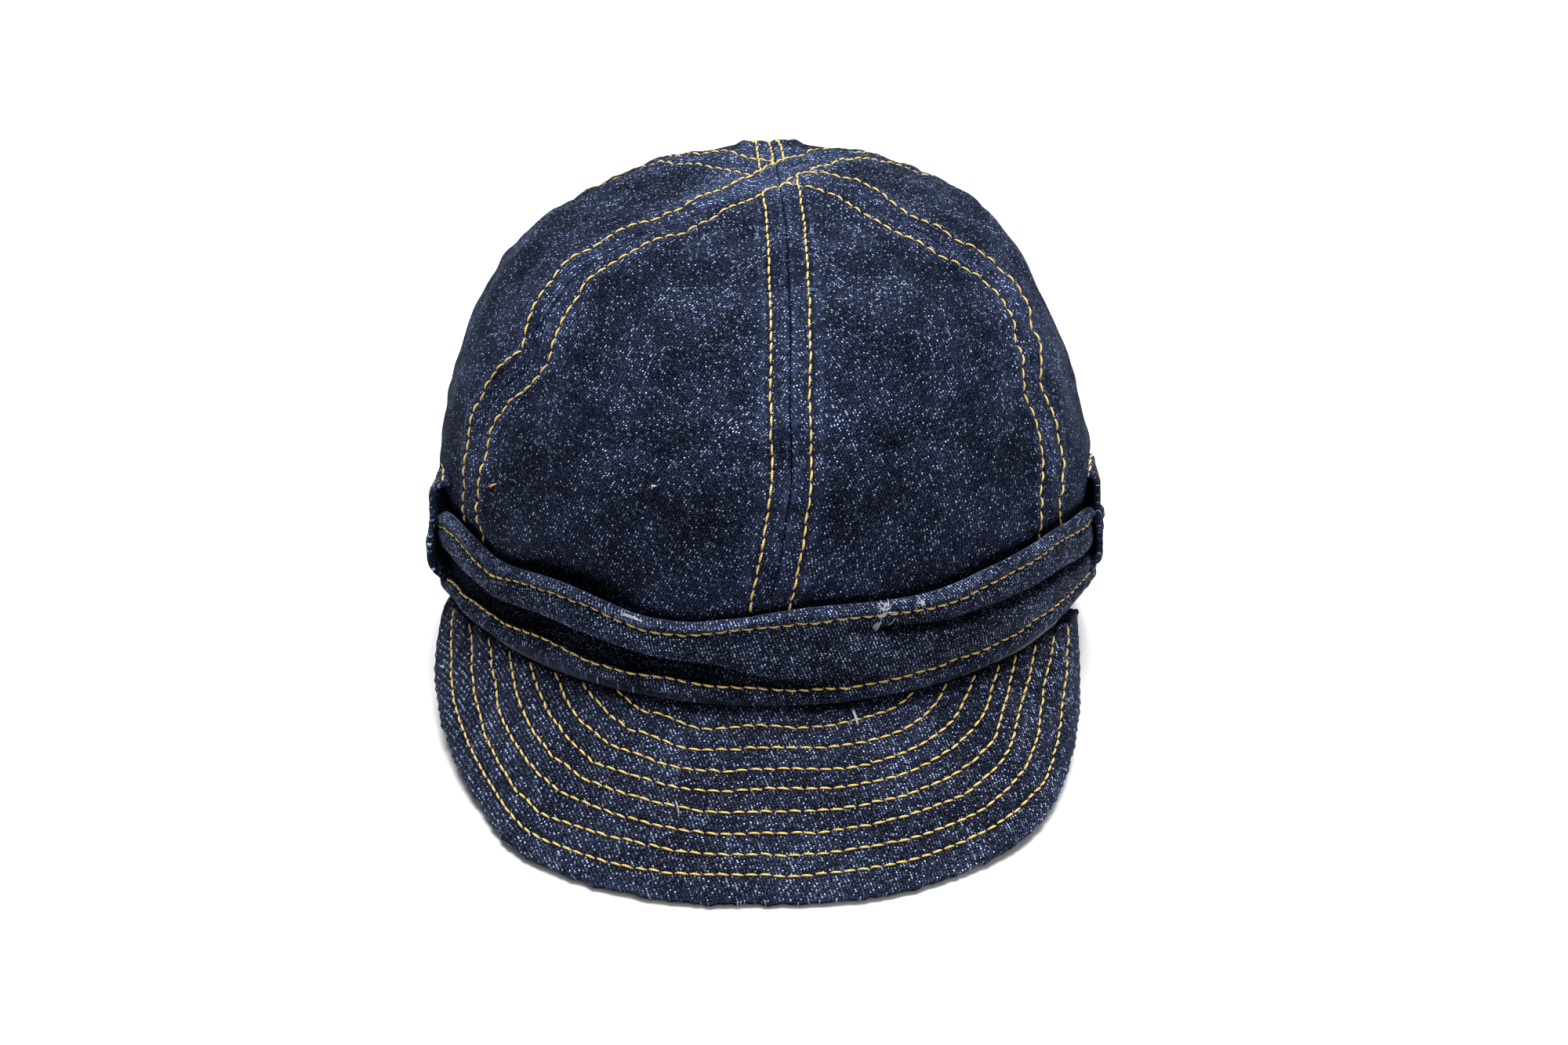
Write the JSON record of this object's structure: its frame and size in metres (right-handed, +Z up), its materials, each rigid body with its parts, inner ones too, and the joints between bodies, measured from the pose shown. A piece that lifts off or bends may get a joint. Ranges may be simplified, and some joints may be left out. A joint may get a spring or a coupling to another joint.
{
  "type": "denim work cap",
  "caption": "Soft domed work cap of panelled denim with a folded band, a stiff topstitched peak at the front and a strap loop at either side, resting on its rim and peak.",
  "frame": {"origin": "middle of the cap's footprint on the floor that it rests on, under the middle of its bounding box", "axes": "+Z up, the peak points to -Y, +X to the right as seen from the front"},
  "size_m": [0.1846, 0.2386, 0.1307],
  "materials": {
    "denim": "raw indigo denim twill with pale neps",
    "denim_band": "raw indigo denim twill, folded",
    "denim_peak": "raw indigo denim twill over a stiff layer",
    "denim_under": "raw indigo denim twill on the underside",
    "thread": "gold topstitching thread",
    "lint": "loose cotton fibres and fluff"
  },
  "bodies": {
    "root": {"crown_panel_front_right": "denim", "crown_panel_side_right": "denim", "crown_panel_back_right": "denim", "crown_panel_back_left": "denim", "crown_panel_side_left": "denim", "crown_panel_front_left": "denim", "band": "denim_band", "peak_underside": "denim_under", "peak_top": "denim_peak", "side_loop_right": "denim_band", "side_loop_left": "denim_band"}
  },
  "joints": []
}
